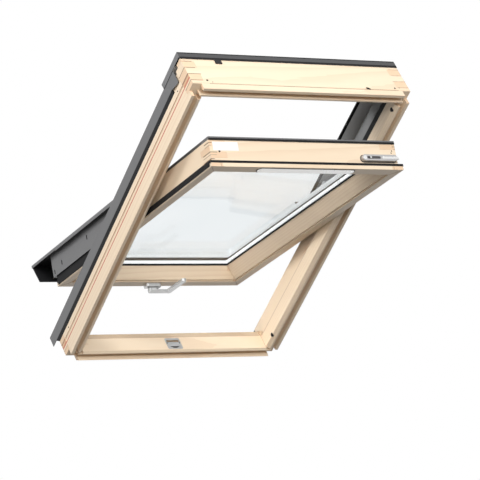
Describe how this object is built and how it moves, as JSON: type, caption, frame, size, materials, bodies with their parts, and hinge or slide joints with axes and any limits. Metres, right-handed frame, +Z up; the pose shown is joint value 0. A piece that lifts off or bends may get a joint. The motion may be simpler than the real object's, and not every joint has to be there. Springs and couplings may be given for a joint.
{
  "type": "centre-pivot roof window",
  "caption": "Sloping pine roof window with grey metal cladding and a double-glazed sash that turns on half-moon hinges at mid height, with a bottom handle and a barrel bolt.",
  "frame": {"origin": "centre of the frame's outline, in the plane of the red installation line", "axes": "+X across the window, +Y level towards the outside, +Z up; the frame lies at a 45 degree roof pitch with its top edge towards -Y"},
  "size_m": [0.783, 1.1648, 0.9472],
  "materials": {
    "pine": "clear lacquered pine",
    "cladding": "grey lacquered aluminium",
    "gasket": "matt black rubber",
    "glass": "clear float glass",
    "spacer": "pale satin",
    "silver": "satin silver",
    "steel": "zinc plated",
    "black_plastic": "moulded black",
    "label": "blank white"
  },
  "bodies": {
    "frame": {"frame_top_rail": "pine", "frame_bottom_rail": "pine", "frame_left_stile": "pine", "frame_right_stile": "pine", "hood": "cladding", "left_side_cladding": "cladding", "right_side_cladding": "cladding", "left_upper_cover": "cladding", "right_upper_cover": "cladding", "bottom_cladding": "cladding", "left_cladding_gasket": "gasket", "right_cladding_gasket": "gasket", "left_cover_gasket": "gasket", "right_cover_gasket": "gasket", "bottom_seal": "gasket", "left_stop_gasket": "gasket", "right_stop_gasket": "gasket", "top_stop_gasket": "gasket", "striker_plate": "silver", "left_frame_hinge": "steel", "right_frame_hinge": "steel", "frame_hinge_screws": "steel", "striker_screws": "steel", "hood_clip": "black_plastic", "upper_bolt_bushing": "black_plastic", "lower_bolt_bushing": "black_plastic"},
    "sash": {"sash_top_rail": "pine", "sash_bottom_rail": "pine", "sash_left_stile": "pine", "sash_right_stile": "pine", "inner_pane": "glass", "outer_pane": "glass", "spacer_frame": "spacer", "edge_seal": "gasket", "glazing_gasket": "gasket", "setting_blocks": "black_plastic", "top_trim": "cladding", "left_side_trim": "cladding", "right_side_trim": "cladding", "left_lower_cover": "cladding", "right_lower_cover": "cladding", "left_side_panel": "cladding", "right_side_panel": "cladding", "bottom_cover": "cladding", "flange_gasket": "gasket", "left_lower_gasket": "gasket", "right_lower_gasket": "gasket", "bottom_gasket": "gasket", "left_sash_hinge": "steel", "right_sash_hinge": "steel", "sash_hinge_screws": "steel", "vent_plate": "silver", "label_plate": "label", "handle_base": "silver", "handle_screws": "steel", "bolt_housing": "silver", "bolt_screw": "steel"},
    "handle": {"handle_lever": "silver"},
    "lock": {"lock_tongue": "silver"},
    "bolt": {"bolt_rod": "silver"}
  },
  "joints": [
    {"name": "sash_pivot", "type": "hinge", "parent": "frame", "child": "sash", "pos_m": [0, 0.0601, 0.07425], "axis": [1, 0, 0], "range_deg": [-25.2, 131.39]},
    {"name": "handle_turn", "type": "hinge", "parent": "sash", "child": "handle", "pos_m": [-0.012, 0.52315, -0.21309], "axis": [0, -0.3387, -0.9409], "range_deg": [0, 90]},
    {"name": "lock_slide", "type": "slide", "parent": "sash", "child": "lock", "axis": [0, 0.9409, -0.3387], "range_m": [0, 0.0166]},
    {"name": "bolt_slide", "type": "slide", "parent": "sash", "child": "bolt", "axis": [1, 0, 0], "range_m": [0, 0.026]}
  ],
  "couplings": [
    {"joint": "lock_slide", "follows": "handle_turn", "m_per_rad": 0.010504}
  ]
}
